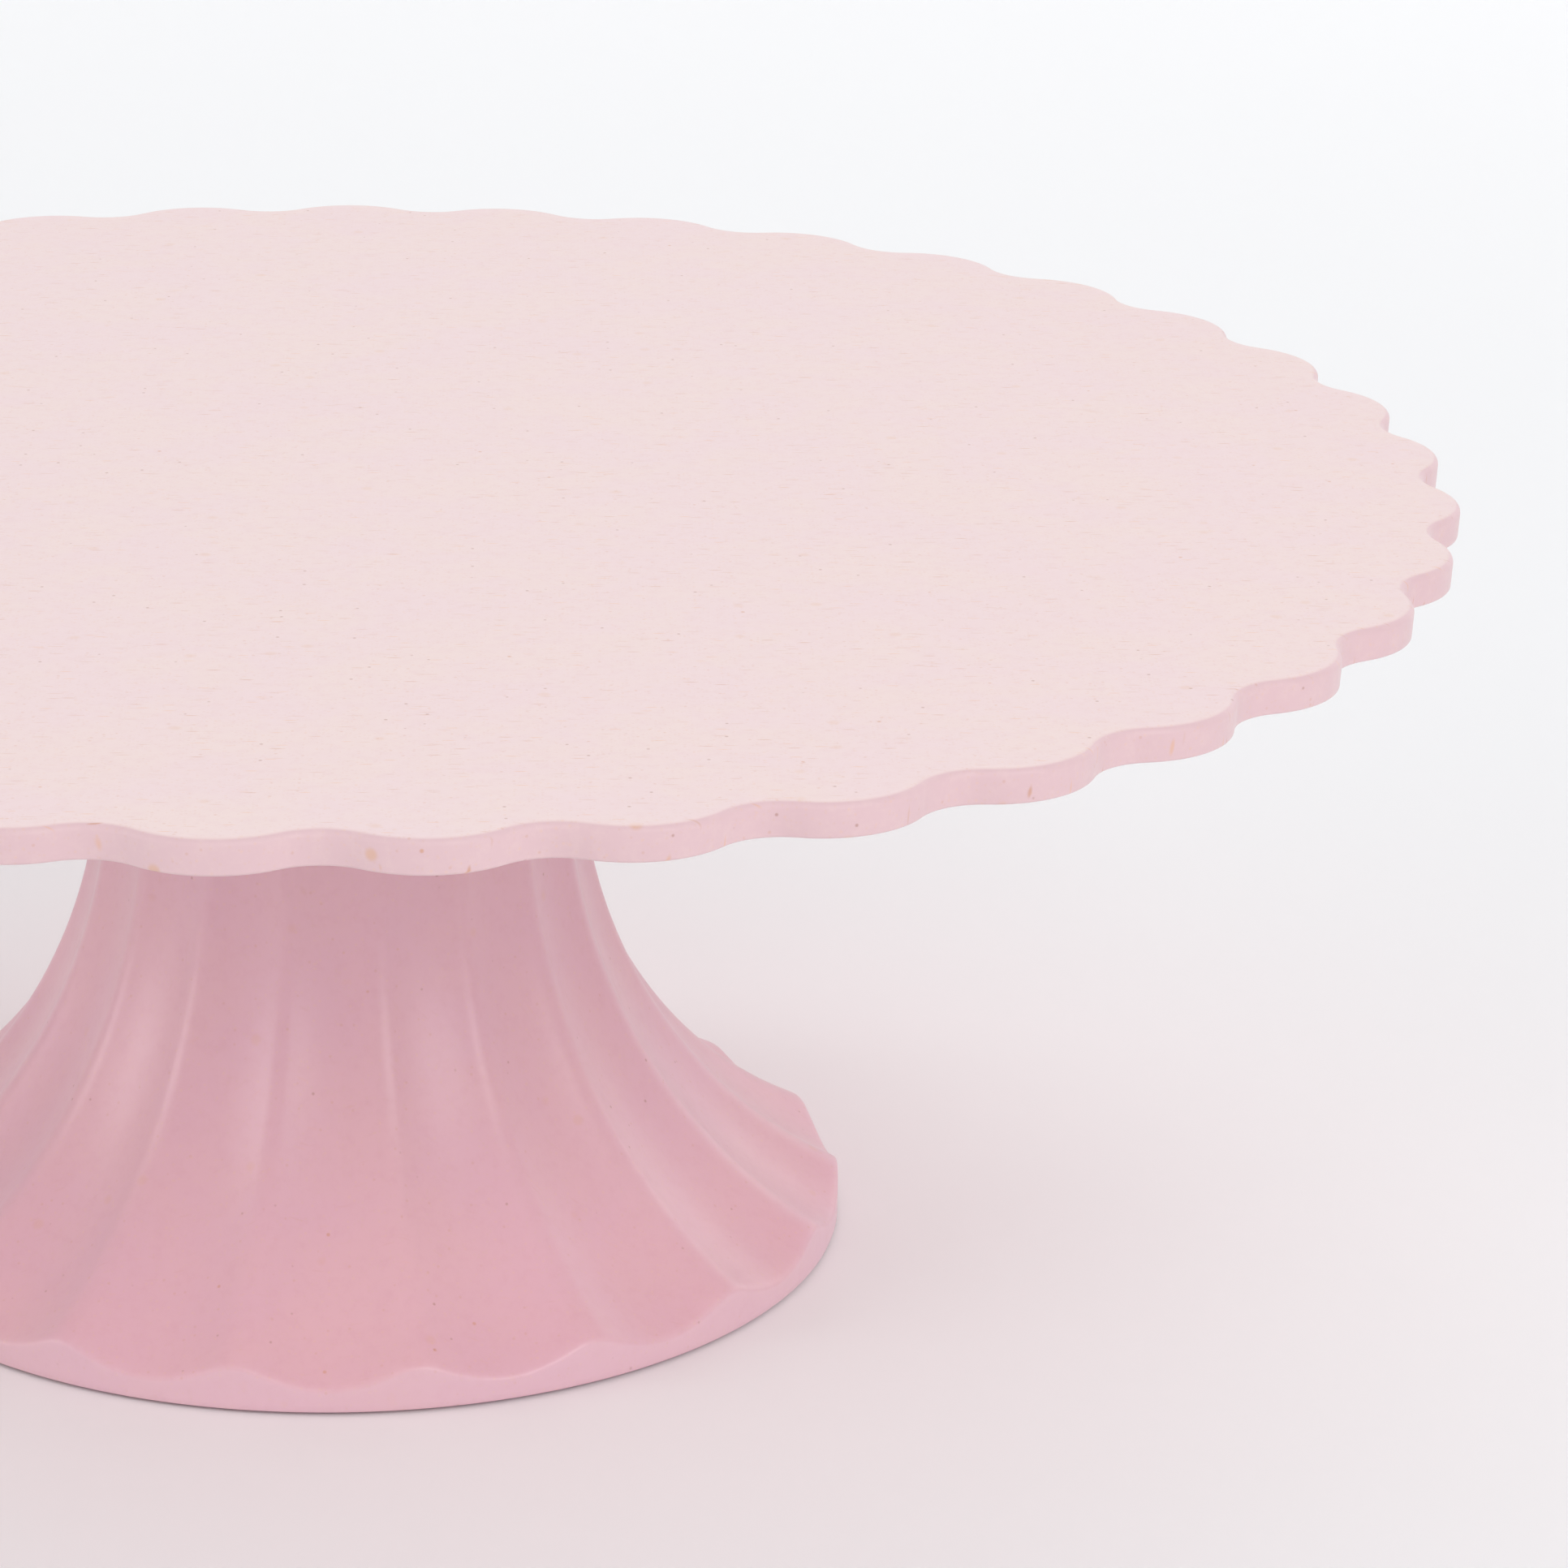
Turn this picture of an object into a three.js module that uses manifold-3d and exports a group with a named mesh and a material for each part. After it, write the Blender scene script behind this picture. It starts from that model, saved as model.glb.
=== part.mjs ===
// Cake turntable: a scalloped plate that turns on a thrust ball bearing in the head of a fluted pedestal.
// Millimetres, +Z up. The origin is on the axis, in the plane that the turntable stands on.

import * as THREE from "three";
import { mergeVertices } from "three/addons/utils/BufferGeometryUtils.js";
import Module from "manifold-3d";

const wasm = await Module();
wasm.setup();

// ---- Driving dimensions -------------------------------------------------------------------------

// Plate
const PLATE_TOP_Z = 107.8;
const PLATE_RADIUS = 150; // at the tips of the lobes
const PLATE_THICKNESS = 4.4;
const LOBES = 37;
const LOBE_RADIUS = 13.4;
const VALLEY_RADIUS = 8.1;
const FIRST_LOBE_DEG = 3.53; // where the first lobe points when the plate is at rest
const PLATE_EDGE = 0.8; // rounding of the rim's two edges, cut as a bevel
const BOSS_RADIUS = 34.5;
const BOSS_HEIGHT = 3.2;
const RIB_RADIUS = 129; // stiffening ring under the plate
const RIB_WIDTH = 3;
const RIB_HEIGHT = 1.2;
const ROOT_DEPTH = 1.1; // how far the boss and the rib reach up into the plate, to join it

// Pedestal
const FLUTES = 18;
const FOOT_RADIUS = 69.3;
const HEAD_RADIUS = 41;
const NECK_Z = 68; // height of the narrowest section
const NECK_RIDGE_RADIUS = 34;
const NECK_FLOOR_RADIUS = 32.6;
const FOOT_RIDGE_Z = 7.2; // where the ridges run into the foot's plain band
const FOOT_FLOOR_Z = 3.7; // where the floors of the flutes do
const HEAD_RIDGE_Z = 90;
const HEAD_FLOOR_Z = 93;
const HEAD_TOP_Z = 102.6;
const RIDGE_ROUNDING = 0.14; // share of a half flute that the rounding of a ridge takes
const PEDESTAL_BASE_Z = 0.5; // the anti-slip ring stands this much proud of the foot
const WALL = 3; // at the neck
const WALL_GROWTH = 0.5; // how much thicker the wall is, as a share, one neck's height away from the neck
const FOOT_INNER_RADIUS = 62.6;
const BAND_EDGE = 0.6; // bevel on the outer edges of the foot and the head
const DECK_TOP_Z = 91.2;
const DECK_THICKNESS = 4;
const POCKET_RADIUS = 36.5; // room for the bearing, inside the head

// Anti-slip ring
const GRIP_INNER_RADIUS = 64.4;
const GRIP_OUTER_RADIUS = 67.2;
const GRIP_HEIGHT = 1.8;
const GRIP_EDGE = 0.3;

// Thrust bearing
const BALLS = 12;
const BALL_RADIUS = 2.5;
const BALL_PITCH_RADIUS = 26;
const GROOVE_RADIUS = 2.8;
const RACE_INNER_RADIUS = 17;
const RACE_OUTER_RADIUS = 33;
const RACE_FACE = 1.1; // from the balls' centres to the face of a race
const RACE_THICKNESS = 3.2;
const CAGE_INNER_RADIUS = 22.4;
const CAGE_OUTER_RADIUS = 29.6;
const CAGE_THICKNESS = 1.4;
const CAGE_POCKET_RADIUS = 2.75;

// Race screws (M3 countersunk) and the brass inserts that they enter
const RACE_SCREWS = 3;
const RACE_SCREW_CIRCLE = 20.3;
const SCREW_HEAD_RADIUS = 2.8;
const SCREW_HEAD_HEIGHT = 1.6;
const SCREW_SHANK_RADIUS = 1.4;
const SCREW_LENGTH = 6.4;
const SCREW_SOCKET_RADIUS = 1.15;
const SCREW_SOCKET_DEPTH = 1.1;
const INSERT_RADIUS = 2.2;
const INSERT_LENGTH = 3.4;

// Shoulder bolt on the axis, with its bush, washers and insert
const BOLT_HEAD_RADIUS = 6.5;
const BOLT_HEAD_HEIGHT = 4;
const BOLT_HEAD_TOP_Z = 83;
const BOLT_SHOULDER_RADIUS = 4;
const BOLT_THREAD_RADIUS = 2.95;
const BOLT_THREAD_LENGTH = 5.2;
const BOLT_SOCKET_RADIUS = 2.9;
const BOLT_SOCKET_DEPTH = 2.5;
const BUSH_SLEEVE_RADIUS = 7;
const BUSH_FLANGE_RADIUS = 11;
const BUSH_FLANGE_THICKNESS = 1.1;
const CENTRE_INSERT_RADIUS = 5;
const CENTRE_INSERT_LENGTH = 5.3;
const WASHER_RADIUS = 9.5;
const WASHER_THICKNESS = 1;
const WAVE_WASHER_RADIUS = 9;
const WAVE_WASHER_THICKNESS = 0.5;
const WAVE_HEIGHT = 0.3;
const WAVES = 3;

// Clearances
const GAP = 0.2; // between faces that rest on each other
const HOLE_GAP = 0.15; // round a piece that is fixed in a hole
const RUNNING_GAP = 0.15; // round the turning shoulder
const SCREW_END_ROOM = 1; // past the end of a race screw, in the plate's blind holes

// Mesh fineness
const LOBE_STEPS = 4;
const VALLEY_STEPS = 2;
const PEDESTAL_STEPS = FLUTES * 4;
const FLAT_STEPS = 48;
const RACE_STEPS = 36;
const WAVE_STEPS = WAVES * 12;
const SMALL_STEPS = 24;
const SCREW_STEPS = 12;
const GROOVE_STEPS = 5;
const BALL_STEPS = 10;
const BALL_ROWS = 7;
const HEXAGON = 6;

const CUT_PAST = 1; // how far a cutter runs past the face that it opens
const MERGE_DISTANCE = 1e-4;

// ---- Dimensions that follow ---------------------------------------------------------------------

const PLATE_UNDER_Z = PLATE_TOP_Z - PLATE_THICKNESS;
const BOSS_UNDER_Z = PLATE_UNDER_Z - BOSS_HEIGHT;
const DECK_UNDER_Z = DECK_TOP_Z - DECK_THICKNESS;
const LOWER_RACE_UNDER_Z = DECK_TOP_Z + GAP;
const LOWER_RACE_TOP_Z = LOWER_RACE_UNDER_Z + RACE_THICKNESS;
const BALL_Z = LOWER_RACE_TOP_Z + RACE_FACE;
const UPPER_RACE_UNDER_Z = BALL_Z + RACE_FACE;
const DECK_HOLE_RADIUS = BUSH_SLEEVE_RADIUS + HOLE_GAP;
const WASHER_BORE = BOLT_SHOULDER_RADIUS + 2 * RUNNING_GAP;
const WASHER_UNDER_Z = BOLT_HEAD_TOP_Z + GAP;
const SCREW_TURN = (2 * Math.PI) / RACE_SCREWS;

// ---- Materials ----------------------------------------------------------------------------------

function material(color, roughness, metalness) {
  return new THREE.MeshStandardMaterial({ color, roughness, metalness });
}

const plateMelamine = () => material(0xf1dddd, 0.6, 0);
const pedestalMelamine = () => material(0xdfb0bc, 0.35, 0);
const steel = () => material(0xb9bcc0, 0.3, 1);
const brass = () => material(0xc9a552, 0.35, 1);
const nylon = () => material(0xe9e6dc, 0.5, 0);
const rubber = () => material(0x8d7f82, 0.9, 0);

// ---- Solids: from three.js geometry to manifold-3d and back -------------------------------------

function solid(geometry) {
  const bare = geometry.clone();
  bare.deleteAttribute("normal");
  bare.deleteAttribute("uv");
  const merged = mergeVertices(bare, MERGE_DISTANCE);
  const corners = merged.index.array;
  const kept = [];
  for (let i = 0; i < corners.length; i += 3) {
    const [a, b, c] = [corners[i], corners[i + 1], corners[i + 2]];
    if (a !== b && b !== c && c !== a) kept.push(a, b, c);
  }
  const vertProperties = merged.attributes.position.array;
  return new wasm.Manifold(new wasm.Mesh({ numProp: 3, vertProperties, triVerts: new Uint32Array(kept) }));
}

function geometryOf(body) {
  const { vertProperties, triVerts } = body.getMesh();
  const geometry = new THREE.BufferGeometry();
  geometry.setAttribute("position", new THREE.BufferAttribute(vertProperties, 3));
  geometry.setIndex(new THREE.BufferAttribute(triVerts, 1));
  geometry.computeVertexNormals();
  return geometry;
}

// ---- Shapes that repeat -------------------------------------------------------------------------

// A body turned about the Z axis from a list of [radius, height] that runs up its outside.
function turned(profile, steps) {
  const points = profile.map(([radius, z]) => new THREE.Vector2(radius, z));
  return new THREE.LatheGeometry(points, steps).rotateX(Math.PI / 2);
}

// A ring of rectangular section.
function ring(inner, outer, low, high, steps) {
  return turned([[inner, low], [outer, low], [outer, high], [inner, high], [inner, low]], steps);
}

// A round plug or, with 6 steps, a hexagonal one.
function plug(radius, low, high, steps) {
  return turned([[0, low], [radius, low], [radius, high], [0, high]], steps);
}

function place(geometry, radius, angle) {
  return geometry.translate(radius * Math.cos(angle), radius * Math.sin(angle), 0);
}

function named(name, geometry, finish) {
  const mesh = new THREE.Mesh(geometry, finish);
  mesh.name = name;
  return mesh;
}

// ---- Plate --------------------------------------------------------------------------------------

// Round lobes joined by round valleys, as tangent arcs.
function scallopedOutline() {
  const pitch = (2 * Math.PI) / LOBES;
  const lobeCircle = PLATE_RADIUS - LOBE_RADIUS;
  const across = lobeCircle * Math.sin(pitch / 2);
  const valleyCircle =
    lobeCircle * Math.cos(pitch / 2) + Math.sqrt((LOBE_RADIUS + VALLEY_RADIUS) ** 2 - across ** 2);
  const valleyX = valleyCircle * Math.cos(pitch / 2) - lobeCircle;
  const tangent = Math.atan2(valleyCircle * Math.sin(pitch / 2), valleyX);
  const points = [];
  for (let i = 0; i < LOBES; i++) {
    const lobeAt = THREE.MathUtils.degToRad(FIRST_LOBE_DEG) + i * pitch;
    const valleyAt = lobeAt + pitch / 2;
    const lobe = new THREE.EllipseCurve(
      lobeCircle * Math.cos(lobeAt), lobeCircle * Math.sin(lobeAt),
      LOBE_RADIUS, LOBE_RADIUS, lobeAt - tangent, lobeAt + tangent, false,
    );
    const valley = new THREE.EllipseCurve(
      valleyCircle * Math.cos(valleyAt), valleyCircle * Math.sin(valleyAt),
      VALLEY_RADIUS, VALLEY_RADIUS, lobeAt + tangent + Math.PI, lobeAt + pitch - tangent - Math.PI, true,
    );
    points.push(...lobe.getPoints(LOBE_STEPS).slice(0, -1), ...valley.getPoints(VALLEY_STEPS).slice(0, -1));
  }
  return points;
}

function plate() {
  const disc = new THREE.ExtrudeGeometry(new THREE.Shape(scallopedOutline()), {
    depth: PLATE_THICKNESS - 2 * PLATE_EDGE,
    bevelThickness: PLATE_EDGE,
    bevelSize: PLATE_EDGE,
    bevelOffset: -PLATE_EDGE,
    bevelSegments: 1,
  }).translate(0, 0, PLATE_UNDER_Z + PLATE_EDGE);
  const rootZ = PLATE_UNDER_Z + ROOT_DEPTH;
  const boss = plug(BOSS_RADIUS, BOSS_UNDER_Z, rootZ, FLAT_STEPS);
  const ribInner = RIB_RADIUS - RIB_WIDTH / 2;
  const rib = ring(ribInner, ribInner + RIB_WIDTH, PLATE_UNDER_Z - RIB_HEIGHT, rootZ, FLAT_STEPS);
  const centreTop = BOSS_UNDER_Z + CENTRE_INSERT_LENGTH + 2 * GAP;
  const centreHole = plug(CENTRE_INSERT_RADIUS + HOLE_GAP, BOSS_UNDER_Z - CUT_PAST, centreTop, SMALL_STEPS);
  let body = solid(disc).add(solid(boss)).add(solid(rib)).subtract(solid(centreHole));
  for (let i = 0; i < RACE_SCREWS; i++) {
    const top = BOSS_UNDER_Z + SCREW_LENGTH - RACE_THICKNESS + SCREW_END_ROOM;
    const hole = plug(INSERT_RADIUS + HOLE_GAP, BOSS_UNDER_Z - CUT_PAST, top, SCREW_STEPS);
    body = body.subtract(solid(place(hole, RACE_SCREW_CIRCLE, i * SCREW_TURN)));
  }
  return named("plate", geometryOf(body), plateMelamine());
}

// ---- Pedestal -----------------------------------------------------------------------------------

// The flared wall is an arc that is upright at the neck and reaches a given radius at a given height.
function flare(neckRadius, reachRadius, reachZ, z) {
  const rise = reachZ - NECK_Z;
  const spread = reachRadius - neckRadius;
  const arc = (rise ** 2 + spread ** 2) / (2 * spread);
  return neckRadius + arc - Math.sqrt(arc ** 2 - (z - NECK_Z) ** 2);
}

// 0 on a ridge and 1 in the middle of a flute, with the ridge rounded.
function fluteShare(angle) {
  const pitch = (2 * Math.PI) / FLUTES;
  const turnPastRidge = THREE.MathUtils.euclideanModulo(angle + Math.PI / 2 + pitch / 2, pitch);
  const fromFloor = Math.abs(turnPastRidge - pitch / 2);
  const fromRidge = 1 - fromFloor / (pitch / 2);
  if (fromRidge > RIDGE_ROUNDING) return 2 * fromRidge - fromRidge ** 2;
  return RIDGE_ROUNDING + ((1 - RIDGE_ROUNDING) / RIDGE_ROUNDING) * fromRidge ** 2;
}

// The flutes run out where they meet the plain bands of the foot and the head.
function flutedRadius(z, angle) {
  const below = z < NECK_Z;
  const reach = below ? FOOT_RADIUS : HEAD_RADIUS;
  const ridge = flare(NECK_RIDGE_RADIUS, reach, below ? FOOT_RIDGE_Z : HEAD_RIDGE_Z, z);
  const floor = flare(NECK_FLOOR_RADIUS, reach, below ? FOOT_FLOOR_Z : HEAD_FLOOR_Z, z);
  return Math.min(reach, ridge + (floor - ridge) * fluteShare(angle));
}

function innerRadius(z) {
  const below = z < NECK_Z;
  const reach = below ? FOOT_RADIUS : HEAD_RADIUS;
  const floor = flare(NECK_FLOOR_RADIUS, reach, below ? FOOT_FLOOR_Z : HEAD_FLOOR_Z, z);
  return Math.min(FOOT_INNER_RADIUS, floor - WALL * (1 + (WALL_GROWTH * Math.abs(z - NECK_Z)) / NECK_Z));
}

function pedestal() {
  const OUTER_HEIGHTS = [3.7, 5.4, 7.2, 11, 17, 26, 38, 52, 68, 80, 86, 90, 93];
  const INNER_HEIGHTS = [DECK_UNDER_Z, 78, 66, 42, 24, 13, 6];
  const outside = OUTER_HEIGHTS.map((z) => [FOOT_RADIUS, z]);
  const inside = INNER_HEIGHTS.map((z) => [innerRadius(z), z]);
  const groove = [
    [GRIP_INNER_RADIUS - HOLE_GAP, PEDESTAL_BASE_Z],
    [GRIP_INNER_RADIUS - HOLE_GAP, GRIP_HEIGHT + GAP],
    [GRIP_OUTER_RADIUS + HOLE_GAP, GRIP_HEIGHT + GAP],
    [GRIP_OUTER_RADIUS + HOLE_GAP, PEDESTAL_BASE_Z],
  ];
  const foot = [
    [FOOT_RADIUS - BAND_EDGE, PEDESTAL_BASE_Z],
    [FOOT_RADIUS, PEDESTAL_BASE_Z + BAND_EDGE],
  ];
  const head = [
    [HEAD_RADIUS, HEAD_TOP_Z - BAND_EDGE],
    [HEAD_RADIUS - BAND_EDGE, HEAD_TOP_Z],
    [POCKET_RADIUS, HEAD_TOP_Z],
    [POCKET_RADIUS, DECK_TOP_Z],
    [DECK_HOLE_RADIUS, DECK_TOP_Z],
    [DECK_HOLE_RADIUS, DECK_UNDER_Z],
  ];
  const footInside = [[FOOT_INNER_RADIUS, PEDESTAL_BASE_Z]];
  const profile = [...groove, ...foot, ...outside, ...head, ...inside, ...footInside, groove[0]];
  const geometry = turned(profile, PEDESTAL_STEPS);
  carveFlutes(geometry, profile.length, groove.length + foot.length, outside.length);
  let body = solid(geometry);
  for (let i = 0; i < RACE_SCREWS; i++) {
    const [low, high] = [DECK_UNDER_Z - CUT_PAST, DECK_TOP_Z + CUT_PAST];
    const hole = plug(INSERT_RADIUS + HOLE_GAP, low, high, SCREW_STEPS);
    body = body.subtract(solid(place(hole, RACE_SCREW_CIRCLE, i * SCREW_TURN)));
  }
  return named("pedestal", geometryOf(body), pedestalMelamine());
}

// Moves the rows of the outer skin, which are count points from first in each turned section.
function carveFlutes(geometry, perSection, first, count) {
  const position = geometry.attributes.position;
  for (let i = 0; i < position.count; i++) {
    const row = (i % perSection) - first;
    if (row < 0 || row >= count) continue;
    const angle = Math.atan2(position.getY(i), position.getX(i));
    const radius = flutedRadius(position.getZ(i), angle);
    position.setX(i, radius * Math.cos(angle));
    position.setY(i, radius * Math.sin(angle));
  }
}

function antiSlipRing() {
  const profile = [
    [GRIP_INNER_RADIUS + GRIP_EDGE, 0],
    [GRIP_OUTER_RADIUS - GRIP_EDGE, 0],
    [GRIP_OUTER_RADIUS, GRIP_EDGE],
    [GRIP_OUTER_RADIUS, GRIP_HEIGHT],
    [GRIP_INNER_RADIUS, GRIP_HEIGHT],
    [GRIP_INNER_RADIUS, GRIP_EDGE],
    [GRIP_INNER_RADIUS + GRIP_EDGE, 0],
  ];
  return named("anti_slip_ring", turned(profile, FLAT_STEPS), rubber());
}

// ---- Thrust bearing -----------------------------------------------------------------------------

// The points of a race's ball groove, from its inner lip to its outer one.
// side is +1 for a groove that opens upwards.
function grooveArc(faceZ, side) {
  const lip = Math.acos(RACE_FACE / GROOVE_RADIUS);
  const points = [];
  for (let i = 0; i <= GROOVE_STEPS; i++) {
    const angle = lip * ((2 * i) / GROOVE_STEPS - 1);
    const radius = BALL_PITCH_RADIUS + GROOVE_RADIUS * Math.sin(angle);
    points.push([radius, faceZ + side * (RACE_FACE - GROOVE_RADIUS * Math.cos(angle))]);
  }
  return points;
}

// Countersunk holes through a race, whose grooved face is at seatZ.
function screwHoles(race, seatZ, side) {
  const cone = SCREW_HEAD_RADIUS + HOLE_GAP;
  const shank = SCREW_SHANK_RADIUS + HOLE_GAP;
  let body = race;
  for (let i = 0; i < RACE_SCREWS; i++) {
    const sink = [
      [0, -RACE_THICKNESS - CUT_PAST],
      [shank, -RACE_THICKNESS - CUT_PAST],
      [shank, -SCREW_HEAD_HEIGHT],
      [cone, -HOLE_GAP],
      [cone, CUT_PAST],
      [0, CUT_PAST],
    ];
    const hole = turned(sink, SCREW_STEPS);
    if (side < 0) hole.rotateX(Math.PI);
    hole.translate(0, 0, seatZ);
    body = body.subtract(solid(place(hole, RACE_SCREW_CIRCLE, i * SCREW_TURN)));
  }
  return body;
}

function lowerRace() {
  const profile = [
    [RACE_INNER_RADIUS, LOWER_RACE_UNDER_Z],
    [RACE_OUTER_RADIUS, LOWER_RACE_UNDER_Z],
    [RACE_OUTER_RADIUS, LOWER_RACE_TOP_Z],
    ...grooveArc(LOWER_RACE_TOP_Z, 1).reverse(),
    [RACE_INNER_RADIUS, LOWER_RACE_TOP_Z],
    [RACE_INNER_RADIUS, LOWER_RACE_UNDER_Z],
  ];
  const body = screwHoles(solid(turned(profile, RACE_STEPS)), LOWER_RACE_TOP_Z, 1);
  return named("lower_race", geometryOf(body), steel());
}

function upperRace() {
  const top = UPPER_RACE_UNDER_Z + RACE_THICKNESS;
  const profile = [
    [RACE_INNER_RADIUS, UPPER_RACE_UNDER_Z],
    ...grooveArc(UPPER_RACE_UNDER_Z, -1),
    [RACE_OUTER_RADIUS, UPPER_RACE_UNDER_Z],
    [RACE_OUTER_RADIUS, top],
    [RACE_INNER_RADIUS, top],
    [RACE_INNER_RADIUS, UPPER_RACE_UNDER_Z],
  ];
  const body = screwHoles(solid(turned(profile, RACE_STEPS)), UPPER_RACE_UNDER_Z, -1);
  return named("upper_race", geometryOf(body), steel());
}

function ballCage() {
  const low = BALL_Z - CAGE_THICKNESS / 2;
  const high = BALL_Z + CAGE_THICKNESS / 2;
  let body = solid(ring(CAGE_INNER_RADIUS, CAGE_OUTER_RADIUS, low, high, RACE_STEPS));
  for (let i = 0; i < BALLS; i++) {
    const pocket = plug(CAGE_POCKET_RADIUS, low - CUT_PAST, high + CUT_PAST, SCREW_STEPS);
    body = body.subtract(solid(place(pocket, BALL_PITCH_RADIUS, (i * 2 * Math.PI) / BALLS)));
  }
  return named("ball_cage", geometryOf(body), nylon());
}

function balls() {
  const made = [];
  for (let i = 0; i < BALLS; i++) {
    const angle = (i * 2 * Math.PI) / BALLS;
    const number = String(i + 1).padStart(2, "0");
    const sphere = new THREE.SphereGeometry(BALL_RADIUS, BALL_STEPS, BALL_ROWS);
    const ball = named(`ball_${number}`, sphere, steel());
    ball.position.set(BALL_PITCH_RADIUS * Math.cos(angle), BALL_PITCH_RADIUS * Math.sin(angle), BALL_Z);
    made.push(ball);
  }
  return made;
}

// ---- Screws and inserts -------------------------------------------------------------------------

// A countersunk screw with its head's face at height 0, pointing down.
function raceScrew() {
  const profile = [
    [0, -SCREW_LENGTH],
    [SCREW_SHANK_RADIUS, -SCREW_LENGTH],
    [SCREW_SHANK_RADIUS, -SCREW_HEAD_HEIGHT],
    [SCREW_HEAD_RADIUS, -HOLE_GAP],
    [SCREW_HEAD_RADIUS, 0],
    [0, 0],
  ];
  const socket = plug(SCREW_SOCKET_RADIUS, -SCREW_SOCKET_DEPTH, CUT_PAST, HEXAGON);
  return geometryOf(solid(turned(profile, SCREW_STEPS)).subtract(solid(socket)));
}

// The three screws of a race and the inserts that they enter; side is +1 where they point down.
function raceFixings(screwName, insertName, seatZ, insertLowZ, side) {
  const bore = SCREW_SHANK_RADIUS + HOLE_GAP;
  const headZ = seatZ - (side * GAP) / 2;
  const made = [];
  for (let i = 0; i < RACE_SCREWS; i++) {
    const angle = i * SCREW_TURN;
    const screw = named(`${screwName}_${i + 1}`, raceScrew(), steel());
    screw.position.set(RACE_SCREW_CIRCLE * Math.cos(angle), RACE_SCREW_CIRCLE * Math.sin(angle), headZ);
    if (side < 0) screw.rotation.x = Math.PI;
    const sleeve = ring(bore, INSERT_RADIUS, insertLowZ, insertLowZ + INSERT_LENGTH, SCREW_STEPS);
    made.push(screw, named(`${insertName}_${i + 1}`, place(sleeve, RACE_SCREW_CIRCLE, angle), brass()));
  }
  return made;
}

// ---- Pivot --------------------------------------------------------------------------------------

function shoulderBolt() {
  const shoulderTop = BOSS_UNDER_Z - GAP;
  const threadTop = shoulderTop + BOLT_THREAD_LENGTH;
  const headUnder = BOLT_HEAD_TOP_Z - BOLT_HEAD_HEIGHT;
  const profile = [
    [0, headUnder],
    [BOLT_HEAD_RADIUS, headUnder],
    [BOLT_HEAD_RADIUS, BOLT_HEAD_TOP_Z],
    [BOLT_SHOULDER_RADIUS, BOLT_HEAD_TOP_Z],
    [BOLT_SHOULDER_RADIUS, shoulderTop],
    [BOLT_THREAD_RADIUS, shoulderTop],
    [BOLT_THREAD_RADIUS, threadTop],
    [0, threadTop],
  ];
  const socket = plug(BOLT_SOCKET_RADIUS, headUnder - CUT_PAST, headUnder + BOLT_SOCKET_DEPTH, HEXAGON);
  const body = solid(turned(profile, SMALL_STEPS)).subtract(solid(socket));
  return named("shoulder_bolt", geometryOf(body), steel());
}

function pivotBush() {
  const bore = BOLT_SHOULDER_RADIUS + RUNNING_GAP;
  const flangeTop = DECK_UNDER_Z - GAP;
  const flangeUnder = flangeTop - BUSH_FLANGE_THICKNESS;
  const sleeveTop = DECK_TOP_Z - GAP;
  const profile = [
    [bore, flangeUnder],
    [BUSH_FLANGE_RADIUS, flangeUnder],
    [BUSH_FLANGE_RADIUS, flangeTop],
    [BUSH_SLEEVE_RADIUS, flangeTop],
    [BUSH_SLEEVE_RADIUS, sleeveTop],
    [bore, sleeveTop],
    [bore, flangeUnder],
  ];
  return named("pivot_bush", turned(profile, SMALL_STEPS), nylon());
}

function centreInsert() {
  const low = BOSS_UNDER_Z + GAP;
  const bore = BOLT_THREAD_RADIUS + HOLE_GAP;
  const sleeve = ring(bore, CENTRE_INSERT_RADIUS, low, low + CENTRE_INSERT_LENGTH, SMALL_STEPS);
  return named("centre_insert", sleeve, brass());
}

function flatWasher() {
  const top = WASHER_UNDER_Z + WASHER_THICKNESS;
  const washer = ring(WASHER_BORE, WASHER_RADIUS, WASHER_UNDER_Z, top, SMALL_STEPS);
  return named("flat_washer", washer, steel());
}

// A thin ring bent up and down as it goes round, midway between the flat washer and the bush.
function waveWasher() {
  const low = WASHER_UNDER_Z + WASHER_THICKNESS;
  const high = DECK_UNDER_Z - GAP - BUSH_FLANGE_THICKNESS;
  const middle = (low + high) / 2;
  const half = WAVE_WASHER_THICKNESS / 2;
  const washer = ring(WASHER_BORE, WAVE_WASHER_RADIUS, middle - half, middle + half, WAVE_STEPS);
  const position = washer.attributes.position;
  for (let i = 0; i < position.count; i++) {
    const angle = Math.atan2(position.getY(i), position.getX(i));
    position.setZ(i, position.getZ(i) + WAVE_HEIGHT * Math.sin(WAVES * angle));
  }
  return named("wave_washer", washer, steel());
}

// ---- Assembly -----------------------------------------------------------------------------------

const standing = new THREE.Group();
standing.add(
  pedestal(),
  antiSlipRing(),
  pivotBush(),
  lowerRace(),
  ...raceFixings("lower_race_screw", "deck_insert", LOWER_RACE_TOP_Z, DECK_UNDER_Z + GAP, 1),
);

const rolling = new THREE.Group();
rolling.add(ballCage(), ...balls());

const turning = new THREE.Group();
turning.add(
  plate(),
  upperRace(),
  centreInsert(),
  shoulderBolt(),
  flatWasher(),
  waveWasher(),
  ...raceFixings("upper_race_screw", "plate_insert", UPPER_RACE_UNDER_Z, BOSS_UNDER_Z + GAP, -1),
);

const turntable = new THREE.Group();
turntable.add(standing, rolling, turning);

export default turntable;
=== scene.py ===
"""Cake turntable: the looks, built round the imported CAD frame. Metres, +Z up."""

import math

import bpy
import numpy as np
from mathutils import Matrix, Vector


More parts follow.
